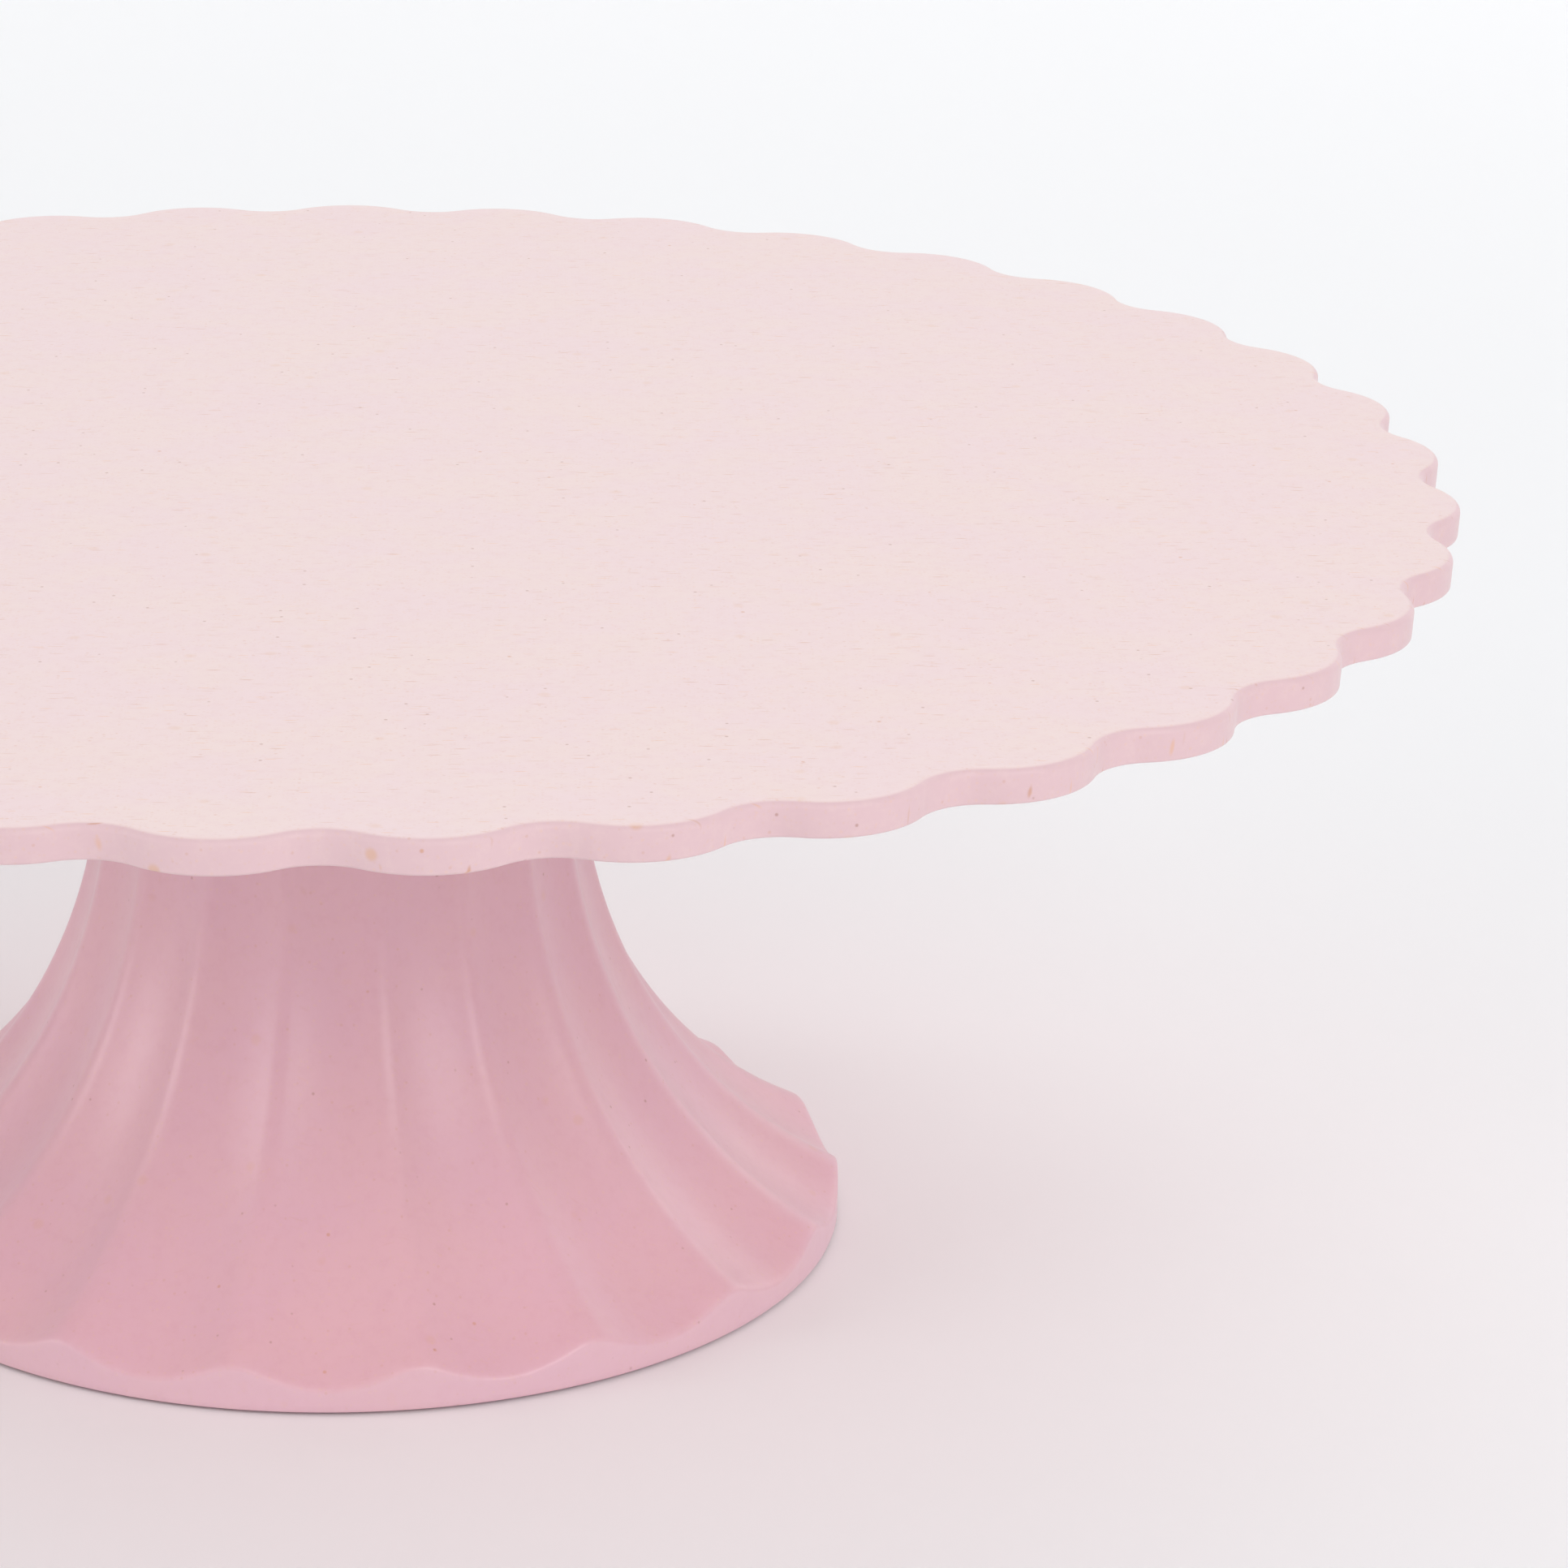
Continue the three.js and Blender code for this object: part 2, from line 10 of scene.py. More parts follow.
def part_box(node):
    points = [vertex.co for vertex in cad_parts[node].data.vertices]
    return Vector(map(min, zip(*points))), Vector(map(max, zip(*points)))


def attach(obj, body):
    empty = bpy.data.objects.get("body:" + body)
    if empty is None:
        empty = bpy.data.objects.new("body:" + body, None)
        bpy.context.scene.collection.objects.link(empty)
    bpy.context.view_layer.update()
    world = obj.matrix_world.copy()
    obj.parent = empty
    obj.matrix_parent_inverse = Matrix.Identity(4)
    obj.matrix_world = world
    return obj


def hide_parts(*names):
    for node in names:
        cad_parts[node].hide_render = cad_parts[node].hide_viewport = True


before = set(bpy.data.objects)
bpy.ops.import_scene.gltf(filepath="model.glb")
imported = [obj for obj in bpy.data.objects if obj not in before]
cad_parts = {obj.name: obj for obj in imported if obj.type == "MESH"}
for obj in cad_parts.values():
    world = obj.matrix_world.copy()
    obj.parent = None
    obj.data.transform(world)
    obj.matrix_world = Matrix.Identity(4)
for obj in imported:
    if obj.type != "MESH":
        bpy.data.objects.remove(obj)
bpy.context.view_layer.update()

MM = 0.001

# ---- Driving dimensions, in millimetres ----------------------------------------------------------

# Plate: its heights come from the frame, the scallops from these
PLATE_RADIUS = 149.965
PLATE_THICKNESS = 4.4
LOBES = 37
LOBE_RADIUS = 13.4
VALLEY_RADIUS = 8.1
FIRST_LOBE_DEG = 3.53
RIM_TOP_ROUND = 1.0
RIM_BOTTOM_ROUND = 0.4
RIM_DRAFT = 0.15  # how far the foot of the rim's wall stands in from its top
SAMPLES_PER_LOBE = 28
BOSS_RADIUS = 34.5
BOSS_FILLET = 1.0
RIB_RADIUS = 129
RIB_WIDTH = 3
RIB_HEIGHT = 1.2
RIB_FLANK = 0.7  # from the rib's side to its flat crest
RIB_FOOT = 1.2  # from the rib's side to where its fillet ends
SINK_DEPTH = 0.05  # the faint ring on top, over the rib
SINK_REACH = 3.5

# Pedestal: its flare lies up to 1.5 mm inside the CAD's
FLUTES = 18
FOOT_RADIUS = 69.3
HEAD_RADIUS = 41
NECK_Z = 68
NECK_RIDGE_RADIUS = 33.1
NECK_FLOOR_RADIUS = 31.7
FLARE_SQUASH = 0.957  # half height of the flare against the circle through the same ends
FOOT_RIDGE_Z = 7.2
FOOT_FLOOR_Z = 3.7
HEAD_RIDGE_Z = 90
HEAD_FLOOR_Z = 93
RIDGE_ROUNDING = 0.22
LIP_ROUNDING = 0.45
WALL = 3
FOOT_INNER_RADIUS = 62.6
FOOT_EDGE = 0.3
POCKET_RADIUS = 36.5
DECK_THICKNESS = 4
GRIP_GROOVE_WIDTH = 3.1
GRIP_WIDTH = 2.8
SAMPLES_PER_FLUTE = 36

# Bearing and fixings
BALLS = 12
BALL_RADIUS = 2.5
BALL_PITCH_RADIUS = 26
GROOVE_RADIUS = 2.62
RACE_FACE = 1.1  # from a race's face to the plane of the balls' centres
RACE_INNER_RADIUS = 17
RACE_EDGE = 0.35
RACE_SCREWS = 3
RACE_SCREW_CIRCLE = 20.3
CAGE_INNER_RADIUS = 22.4
CAGE_HOLE_RADIUS = 2.7
SCREW_RADIUS = 1.4
SCREW_ROOT_RADIUS = 1.25
SCREW_HEAD_RADIUS = 2.8
SCREW_HEAD_HEIGHT = 1.6
INSERT_RADIUS = 2.2
INSERT_BORE = 1.55
INSERT_KNURLS = 20
CENTRE_INSERT_RADIUS = 5.0
CENTRE_INSERT_BORE = 3.1
CENTRE_INSERT_KNURLS = 36
KNURL_DEPTH = 0.10
BOLT_HEAD_RADIUS = 6.35
BOLT_HEAD_HEIGHT = 4
BOLT_SHOULDER_RADIUS = 4.0
BOLT_THREAD_LENGTH = 5.2
BOLT_ROOT_RADIUS = 2.6
BOLT_CREST_RADIUS = 2.93
BOLT_KNURLS = 36
BUSH_RADIUS = 7
BUSH_BORE = 4.15
BUSH_FLANGE = 1.1
WASHER_BORE = 4.3
WAVE_HEIGHT = 0.3
HOLE_GAP = 0.15
GAP = 0.2
SHARP_EDGE = math.radians(40)
TURNED_STEPS = 144
SMALL_STEPS = 72
SCREW_STEPS = 48
CUTTER_STEPS = 40

# Camera, found from the rim's and the foot's perspective
CAMERA_DISTANCE = 0.7638  # from the middle of the plate's top
CAMERA_ELEVATION = 0.2784
CAMERA_AZIMUTH = math.radians(2.0)
LOOK_RIGHT = 0.0827
LOOK_DOWN = 0.3343
LOOK_ROLL = 0.0193
LENS_MM = 130.1
SENSOR_MM = 36


# ---- Mesh building -------------------------------------------------------------------------------

def top_of(node):
    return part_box(node)[1].z / MM


def bottom_of(node):
    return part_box(node)[0].z / MM


def mesh_object(name, rings, closed=False):
    """A smooth body through rings of points in millimetres; a ring of one point is a pole."""
    starts = []
    points = []
    for ring in rings:
        starts.append(len(points))
        points.extend(ring)
    pairs = list(zip(range(len(rings) - 1), range(1, len(rings))))
    if closed:
        pairs.append((len(rings) - 1, 0))
    faces = []
    for a, b in pairs:
        steps = max(len(rings[a]), len(rings[b]))
        for i in range(steps):
            j = (i + 1) % steps
            if len(rings[a]) == 1:
                faces.append((starts[a], starts[b] + j, starts[b] + i))
            elif len(rings[b]) == 1:
                faces.append((starts[a] + i, starts[a] + j, starts[b]))
            else:
                faces.append((starts[a] + i, starts[a] + j, starts[b] + j, starts[b] + i))
    mesh = bpy.data.meshes.new(name)
    mesh.from_pydata([tuple(p) for p in np.array(points) * MM], [], faces)
    mesh.polygons.foreach_set("use_smooth", [True] * len(faces))
    mesh.set_sharp_from_angle(angle=SHARP_EDGE)
    made = bpy.data.objects.new(name, mesh)
    bpy.context.scene.collection.objects.link(made)
    return made


def circle(radius, z, angles):
    """A ring at a height; radius is a number or one for each angle, and z likewise."""
    if np.isscalar(radius) and radius == 0:
        return np.array([[0.0, 0.0, float(np.mean(z))]])
    radius = np.broadcast_to(radius, angles.shape)
    z = np.broadcast_to(z, angles.shape)
    return np.stack([radius * np.cos(angles), radius * np.sin(angles), z], axis=1)


def full_turn(steps):
    return np.arange(steps) * 2 * np.pi / steps


def turned(name, profile, steps=SMALL_STEPS, closed=False):
    """A body turned about the Z axis from a list of (radius, z) that runs up its outside."""
    angles = full_turn(steps)
    return mesh_object(name, [circle(r, z, angles) for r, z in profile], closed)


def rounded(profile, radius, steps=4):
    """A closed profile with each corner cut back and rounded."""
    corners = [np.array(p, float) for p in profile]
    made = []
    for i, corner in enumerate(corners):
        before = corners[i - 1] - corner
        after = corners[(i + 1) % len(corners)] - corner
        cut = min(radius, 0.45 * np.linalg.norm(before), 0.45 * np.linalg.norm(after))
        start = corner + before / np.linalg.norm(before) * cut
        end = corner + after / np.linalg.norm(after) * cut
        for k in range(steps + 1):
            t = k / steps
            made.append(tuple((1 - t) ** 2 * start + 2 * t * (1 - t) * corner + t ** 2 * end))
    return made


def drill(body, holes):
    """Cuts turned cutters out of a body, and removes the cutters."""
    bpy.ops.object.select_all(action="DESELECT")
    for hole in holes:
        hole.select_set(True)
    bpy.context.view_layer.objects.active = holes[0]
    if len(holes) > 1:
        bpy.ops.object.join()
    cutter = bpy.context.view_layer.objects.active
    cut = body.modifiers.new("holes", "BOOLEAN")
    cut.operation = "DIFFERENCE"
    cut.solver = "MANIFOLD"
    cut.object = cutter
    bpy.context.view_layer.objects.active = body
    bpy.ops.object.modifier_apply(modifier=cut.name)
    bpy.data.objects.remove(cutter)
    body.data.polygons.foreach_set("use_smooth", [True] * len(body.data.polygons))
    body.data.set_sharp_from_angle(angle=SHARP_EDGE)


def plain_hole(radius, low, high):
    """The (radius, z) profile of a straight hole."""
    return [(0, low), (radius, low), (radius, high), (0, high)]


def screw_hole(profile, angle):
    """A cutter on the race screws' circle."""
    hole = turned("cutter", profile, CUTTER_STEPS)
    offset = (RACE_SCREW_CIRCLE * math.cos(angle), RACE_SCREW_CIRCLE * math.sin(angle), 0)
    hole.data.transform(Matrix.Translation(Vector(offset) * MM))
    return hole


SCREW_ANGLES = [i * 2 * math.pi / RACE_SCREWS for i in range(RACE_SCREWS)]


# ---- Material nodes ------------------------------------------------------------------------------

class Nodes:
    """Short names for building a material's node tree."""

    def __init__(self, name):
        self.material = bpy.data.materials.new(name)
        self.material.use_nodes = True
        self.tree = self.material.node_tree
        self.shader = self.tree.nodes["Principled BSDF"]
        self.place = self.add("ShaderNodeTexCoord").outputs["Object"]

    def add(self, kind, **settings):
        node = self.tree.nodes.new(kind)
        for key, value in settings.items():
            setattr(node, key, value)
        return node

    def link(self, source, target):
        self.tree.links.new(source, target)

    def math(self, operation, a, b=None):
        node = self.add("ShaderNodeMath", operation=operation)
        for socket, value in zip(node.inputs, (a, b)):
            if value is None:
                continue
            if isinstance(value, (int, float)):
                socket.default_value = value
            else:
                self.link(value, socket)
        return node.outputs[0]

    def scaled(self, source, factor, offset):
        """source * factor + offset"""
        level = self.math("MULTIPLY_ADD", source, factor)
        level.node.inputs[2].default_value = offset
        return level

    def ramp(self, source, low, high):
        """0 at low and 1 at high, with a smooth step between them; low may be the greater."""
        node = self.add("ShaderNodeMapRange", clamp=True, interpolation_type="SMOOTHSTEP")
        self.link(source, node.inputs["Value"])
        if low < high:
            node.inputs["From Min"].default_value = low
            node.inputs["From Max"].default_value = high
        else:
            node.inputs["From Min"].default_value = high
            node.inputs["From Max"].default_value = low
            node.inputs["To Min"].default_value = 1
            node.inputs["To Max"].default_value = 0
        return node.outputs["Result"]

    def height(self):
        split = self.add("ShaderNodeSeparateXYZ")
        self.link(self.place, split.inputs["Vector"])
        return split.outputs["Z"]

    def upright(self):
        """How far the surface faces up or down: 1 on a level face and 0 on a wall."""
        split = self.add("ShaderNodeSeparateXYZ")
        self.link(self.add("ShaderNodeTexCoord").outputs["Normal"], split.inputs["Vector"])
        return self.math("ABSOLUTE", split.outputs["Z"])

    def moved(self, stretch=(1, 1, 1), turn=0.0, shift=(0, 0, 0)):
        node = self.add("ShaderNodeMapping")
        node.inputs["Scale"].default_value = stretch
        node.inputs["Rotation"].default_value = (0, 0, turn)
        node.inputs["Location"].default_value = shift
        self.link(self.place, node.inputs["Vector"])
        return node.outputs["Vector"]

    def noise(self, scale, detail=2.0, at=None, roughness=0.5):
        node = self.add("ShaderNodeTexNoise")
        node.inputs["Scale"].default_value = scale
        node.inputs["Detail"].default_value = detail
        node.inputs["Roughness"].default_value = roughness
        self.link(at or self.place, node.inputs["Vector"])
        return node.outputs["Fac"]

    def specks(self, scale, radius, share, at=None):
        """Soft spots: 1 inside a spot, 0 elsewhere; share of the cells hold one."""
        node = self.add("ShaderNodeTexVoronoi")
        node.inputs["Scale"].default_value = scale
        self.link(at or self.place, node.inputs["Vector"])
        spot = self.ramp(node.outputs["Distance"], radius, radius * 0.35)
        pick = self.add("ShaderNodeSeparateColor")
        self.link(node.outputs["Color"], pick.inputs["Color"])
        chosen = self.math("GREATER_THAN", pick.outputs["Red"], 1 - share)
        return self.math("MULTIPLY", spot, chosen)

    def tint(self, base, colour, factor):
        node = self.add("ShaderNodeMix", data_type="RGBA")
        self.link(factor, node.inputs["Factor"])
        for socket, value in (("A", base), ("B", colour)):
            target = [s for s in node.inputs if s.name == socket and s.type == "RGBA"][0]
            if isinstance(value, tuple):
                target.default_value = (*value, 1)
            else:
                self.link(value, target)
        return [s for s in node.outputs if s.type == "RGBA"][0]

    def rough(self, source, low, spread):
        """Roughness from low, where source is 0, to low + spread, where it is 1."""
        self.link(self.scaled(source, spread, low), self.shader.inputs["Roughness"])

    def bump(self, height, distance, strength=1.0):
        node = self.add("ShaderNodeBump")
        node.inputs["Strength"].default_value = strength
        node.inputs["Distance"].default_value = distance
        self.link(height, node.inputs["Height"])
        self.link(node.outputs["Normal"], self.shader.inputs["Normal"])


# Flecks as (cells to the metre, radius in cells, share of cells, tone, strength, shift)
FLECKS = (
    (1900, 0.46, 0.30, (0.78, 0.52, 0.44), 0.26, 0.0),
    (1250, 0.34, 0.20, (0.84, 0.55, 0.42), 0.28, 0.3),
    (700, 0.20, 0.22, (0.70, 0.38, 0.27), 0.34, 0.7),
    (430, 0.13, 0.15, (0.44, 0.19, 0.13), 0.55, 1.1),
    (210, 0.075, 0.10, (0.66, 0.30, 0.14), 0.60, 1.9),
)

# Dashes as (turn, cells to the metre along and across, radius in cells, share, tone, strength)
DASHES = (
    (0.05, 150, 1300, 0.20, 0.45, (0.70, 0.40, 0.28), 0.42),
    (-0.35, 170, 1200, 0.18, 0.40, (0.82, 0.45, 0.24), 0.50),
    (0.6, 110, 950, 0.13, 0.40, (0.64, 0.30, 0.16), 0.62),
    (1.6, 120, 1000, 0.11, 0.30, (0.62, 0.30, 0.18), 0.42),
)
DASH_CELLS_UP = 120
BLOB_TONE = (0.76, 0.43, 0.22)


def fleck_over(n, base, gain):
    for scale, radius, share, tone, strength, shift in FLECKS:
        fleck = n.specks(scale, radius, share, n.moved(shift=(shift, shift, shift)))
        base = n.tint(base, tone, n.math("MULTIPLY", fleck, strength * gain))
    return base


def dash_over(n, base, gain):
    """Short fibres that lie in a few directions."""
    for turn, along, across, radius, share, tone, strength in DASHES:
        lie = n.moved(stretch=(along, across, DASH_CELLS_UP), turn=turn, shift=(turn, turn, turn))
        dash = n.specks(1, radius, share, lie)
        base = n.tint(base, tone, n.math("MULTIPLY", dash, strength * gain))
    return base


def painted_foot_light(n, base, band):
    """The upright band below the flutes, made paler as painted light; the limits are of its slope, and of
    its height in metres.
    """
    at_foot = n.math("MULTIPLY", n.ramp(n.upright(), 0.5, 0.1), n.ramp(n.height(), 0.012, 0.009))
    return n.tint(base, band, n.math("MULTIPLY", at_foot, 0.27))


def melamine(name, colour, cream, roughness, speck_gain, dash_gain, sheen, edge=None, band=None):
    """Bamboo-fibre melamine: mottled pink with fine flecks, tan blobs and short fibres.

    edge is painted shade: a deeper colour that walls such as the plate's rim take, against the lit
    level faces, and the walls show the tan blobs stronger; band is painted light: a paler colour
    that the upright band round the foot takes.
    """
    n = Nodes(name)
    base = n.tint(colour, cream, n.ramp(n.noise(55, 5, roughness=0.65), 0.35, 0.65))
    blob_gain = 0.22 * speck_gain
    if edge:
        # Painted shade: walls take the deeper edge colour and stronger blobs, level faces keep the lit
        # colour
        face = n.ramp(n.upright(), 0.80, 0.985)
        base = n.tint(edge, base, face)
        blob_gain = n.scaled(face, -0.30, 0.50)
    deeper = tuple(c * f for c, f in zip(colour, (0.96, 0.91, 0.90)))
    cloud = n.ramp(n.noise(520, 5, roughness=0.7), 0.42, 0.78)
    base = n.tint(base, deeper, n.math("MULTIPLY", cloud, 0.55))
    base = fleck_over(n, base, speck_gain)
    blobs = n.specks(210, 0.22, 0.16, n.moved(shift=(0.31, 0.17, 0.05)))
    base = n.tint(base, BLOB_TONE, n.math("MULTIPLY", blobs, blob_gain))
    base = dash_over(n, base, dash_gain)
    if band:
        # Painted light: the upright band round the foot is made paler
        base = painted_foot_light(n, base, band)
    n.link(base, n.shader.inputs["Base Color"])
    n.rough(n.noise(260, 3), roughness - 0.05, 0.10)
    n.shader.inputs["IOR"].default_value = 1.52
    n.shader.inputs["Sheen Weight"].default_value = sheen
    n.shader.inputs["Sheen Roughness"].default_value = 0.45
    n.shader.inputs["Sheen Tint"].default_value = (1.0, 0.97, 0.95, 1)
    n.bump(n.noise(900, 4, roughness=0.6), 0.00003, 0.35)
    return n.material


def metal(name, colour, roughness, brushed):
    """Turned or ground metal: fine concentric streaks in the roughness and the surface."""
    n = Nodes(name)
    split = n.add("ShaderNodeSeparateXYZ")
    n.link(n.place, split.inputs["Vector"])
    squares = [n.math("POWER", split.outputs[side], 2) for side in ("X", "Y")]
    away = n.math("SQRT", n.math("ADD", *squares))
    lines = n.add("ShaderNodeTexNoise", noise_dimensions="1D")
    lines.inputs["Scale"].default_value = 6000
    lines.inputs["Detail"].default_value = 2
    n.link(away, lines.inputs["W"])
    n.shader.inputs["Metallic"].default_value = 1
    stain = n.ramp(n.noise(300, 4), 0.4, 0.8)
    base = n.tint(colour, tuple(c * 0.8 for c in colour), n.math("MULTIPLY", stain, 0.5))
    n.link(base, n.shader.inputs["Base Color"])
    n.rough(lines.outputs["Fac"], roughness - 0.06, 0.12)
    n.bump(lines.outputs["Fac"], 0.00001, brushed)
    return n.material


def nylon(name, colour):
    n = Nodes(name)
    base = n.tint(colour, tuple(c * 0.9 for c in colour), n.ramp(n.noise(200, 3), 0.4, 0.7))
    n.link(base, n.shader.inputs["Base Color"])
    n.rough(n.noise(700, 3), 0.36, 0.12)
    n.shader.inputs["Subsurface Weight"].default_value = 0.08
    n.shader.inputs["Subsurface Radius"].default_value = (0.001, 0.001, 0.0008)
    n.bump(n.noise(1500, 2), 0.00002, 0.3)
    return n.material


def rubber(name, colour):
    n = Nodes(name)
    base = n.tint(colour, tuple(c * 1.25 for c in colour), n.ramp(n.noise(500, 4), 0.5, 0.8))
    n.link(base, n.shader.inputs["Base Color"])
    n.rough(n.noise(900, 3), 0.74, 0.16)
    n.bump(n.noise(2500, 3), 0.00004, 0.6)
    return n.material


FINISHES = {
    # The plate's edge colour is painted shade on the walls of its rim, against its lit top
    "plate_melamine": melamine("plate_melamine", (0.877, 0.677, 0.682), (0.882, 0.692, 0.662),
                               0.52, 1.0, 1.0, 0.3, edge=(0.79, 0.55, 0.58)),
    # Painted shade: the pedestal's pink is deeper than the plate's for the shade and pink bounce under the
    # plate; the melamine is the same
    "pedestal_melamine": melamine("pedestal_melamine", (0.802, 0.496, 0.571), (0.811, 0.505, 0.557),
                                  # band: painted light, the paler colour of the upright foot band
                                  0.36, 0.85, 0.15, 0.15, band=(0.88, 0.62, 0.70)),
    "bearing_steel": metal("bearing_steel", (0.56, 0.57, 0.58), 0.26, 0.5),
    "ball_steel": metal("ball_steel", (0.66, 0.67, 0.69), 0.10, 0.05),
    "screw_steel": metal("screw_steel", (0.58, 0.59, 0.61), 0.32, 0.4),
    "insert_brass": metal("insert_brass", (0.76, 0.55, 0.24), 0.30, 0.5),
    "cage_nylon": nylon("cage_nylon", (0.82, 0.80, 0.73)),
    "grip_rubber": rubber("grip_rubber", (0.30, 0.23, 0.245)),
}


def stand_for(piece, node, body, slot):
    """piece shows in place of a CAD node, with its body and its finish."""
    piece.data.materials.clear()
    piece.data.materials.append(FINISHES[slot])
    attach(piece, body)
    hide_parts(node)


# ---- Plate ---------------------------------------------------------------------------------------

def scallops():
    """The outline of the plate: points, and the outward normal at each."""
    pitch = 2 * math.pi / LOBES
    lobe_circle = PLATE_RADIUS - LOBE_RADIUS
    across = lobe_circle * math.sin(pitch / 2)
    reach = math.sqrt((LOBE_RADIUS + VALLEY_RADIUS) ** 2 - across ** 2)
    valley_circle = lobe_circle * math.cos(pitch / 2) + reach
    tangent = math.atan2(valley_circle * math.sin(pitch / 2),
                         valley_circle * math.cos(pitch / 2) - lobe_circle)
    lobe_steps = SAMPLES_PER_LOBE * 2 // 3
    valley_steps = SAMPLES_PER_LOBE - lobe_steps
    points = []
    normals = []
    for i in range(LOBES):
        lobe_at = math.radians(FIRST_LOBE_DEG) + i * pitch
        valley_at = lobe_at + pitch / 2
        for k in range(lobe_steps):
            a = lobe_at + tangent * (2 * k / lobe_steps - 1)
            out = np.array([math.cos(a), math.sin(a)])
            middle = lobe_circle * np.array([math.cos(lobe_at), math.sin(lobe_at)])
            points.append(middle + LOBE_RADIUS * out)
            normals.append(out)
        turn = tangent - pitch / 2
        for k in range(valley_steps):
            a = valley_at + turn * (1 - 2 * k / valley_steps)
            out = np.array([math.cos(a), math.sin(a)])
            middle = valley_circle * np.array([math.cos(valley_at), math.sin(valley_at)])
            points.append(middle - VALLEY_RADIUS * out)
            normals.append(out)
    return np.array(points), np.array(normals)


def quarter(start, end, steps, bulge):
    """(inset, z) points of a quarter round from start to end, without the last.

    bulge is the centre of the round.
    """
    made = []
    for k in range(steps):
        t = k / steps
        c, s = math.cos(t * math.pi / 2), math.sin(t * math.pi / 2)
        made.append((bulge[0] + (start[0] - bulge[0]) * c + (end[0] - bulge[0]) * s,
                     bulge[1] + (start[1] - bulge[1]) * c + (end[1] - bulge[1]) * s))
    return made


def plate_underside(top):
    """(radius, z) from the middle of the boss's hole out past the stiffening rib."""
    under = top - PLATE_THICKNESS
    crest = under - RIB_HEIGHT
    boss = bottom_of("plate")
    hole_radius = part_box("centre_insert")[1].x / MM + HOLE_GAP
    hole_top = top_of("centre_insert") + GAP
    rib_in = RIB_RADIUS - RIB_WIDTH / 2
    rib_out = RIB_RADIUS + RIB_WIDTH / 2
    profile = [(0, hole_top), (hole_radius, hole_top), (hole_radius, boss), (BOSS_RADIUS - 0.6, boss),
               (BOSS_RADIUS - 0.2, boss + 0.15), (BOSS_RADIUS, boss + 0.6),
               (BOSS_RADIUS, under - BOSS_FILLET)]
    for k in range(1, 6):
        a = k / 5 * math.pi / 2
        profile.append((BOSS_RADIUS + BOSS_FILLET * (1 - math.cos(a)),
                        under - BOSS_FILLET * (1 - math.sin(a))))
    profile += [(60, under), (95, under)]
    rib = [(RIB_FOOT, under), (0.35, under - 0.12), (0, under - 0.5), (-0.3, crest + 0.15),
           (-RIB_FLANK, crest)]
    profile += [(rib_in - out, z) for out, z in rib]
    profile += [(rib_out + out, z) for out, z in reversed(rib)]
    return profile + [(138, under)]


def rim_section(top):
    """(inset, z) up the edge of the plate, from the underside to the top."""
    under = top - PLATE_THICKNESS
    low_wall = (RIM_DRAFT, under + RIM_BOTTOM_ROUND)
    low_flat = (RIM_DRAFT + RIM_BOTTOM_ROUND, under)
    high_wall = (0, top - RIM_TOP_ROUND)
    high_flat = (RIM_TOP_ROUND, top)
    section = [(3.2, under)]
    section += quarter(low_flat, low_wall, 6, (low_flat[0], low_wall[1]))
    section += [low_wall, (RIM_DRAFT * 0.45, (low_wall[1] + high_wall[1]) / 2)]
    section += quarter(high_wall, high_flat, 7, (high_flat[0], high_wall[1]))
    return section + [high_flat, (2.2, top), (4.0, top)]


def plate_face(top):
    """(radius, z) over the top, from the rim in to the middle, with the faint ring over the rib."""
    profile = [(139, top), (136, top)]
    for step in range(9):
        away = 1 - step / 4
        sink = SINK_DEPTH * math.exp(-4 * away * away)
        profile.append((RIB_RADIUS + SINK_REACH * away, top - sink))
    return profile + [(r, top) for r in (120, 100, 75, 50, 25, 8, 0)]


def make_plate():
    top = top_of("plate")
    outline, normal = scallops()
    angles = np.arctan2(outline[:, 1], outline[:, 0])

    def rim(inset, z):
        at = outline - normal * inset
        return np.column_stack([at, np.full(len(at), z)])

    rings = [circle(r, z, angles) for r, z in plate_underside(top)]
    rings += [rim(inset, z) for inset, z in rim_section(top)]
    rings += [circle(r, z, angles) for r, z in plate_face(top)]
    plate = mesh_object("fine_plate", rings)
    low = bottom_of("plate") - 1
    high = top_of("plate_insert_1") + GAP
    hole = plain_hole(INSERT_RADIUS + HOLE_GAP, low, high)
    drill(plate, [screw_hole(hole, a) for a in SCREW_ANGLES])
    stand_for(plate, "plate", "turning_plate", "plate_melamine")


# ---- Pedestal ------------------------------------------------------------------------------------

def flare(neck, reach, reach_z, z):
    """Radius of an ellipse that is upright at the neck and passes through (reach, reach_z)."""
    rise = reach_z - NECK_Z
    spread = reach - neck
    half_height = FLARE_SQUASH * (rise ** 2 + spread ** 2) / (2 * spread)

    def share_at(height):
        return 1 - math.sqrt(max(0, 1 - (height / half_height) ** 2))

    return neck + spread * share_at(z - NECK_Z) / share_at(rise)


def flute_share(angles):
    """0 on a ridge and 1 in the middle of a flute, with the ridge rounded."""
    pitch = 2 * np.pi / FLUTES
    from_floor = np.abs((angles + np.pi / 2 + pitch / 2) % pitch - pitch / 2)
    t = 1 - from_floor / (pitch / 2)
    rounded_ridge = RIDGE_ROUNDING + (1 - RIDGE_ROUNDING) / RIDGE_ROUNDING * t ** 2
    return np.where(t > RIDGE_ROUNDING, 2 * t - t ** 2, rounded_ridge)


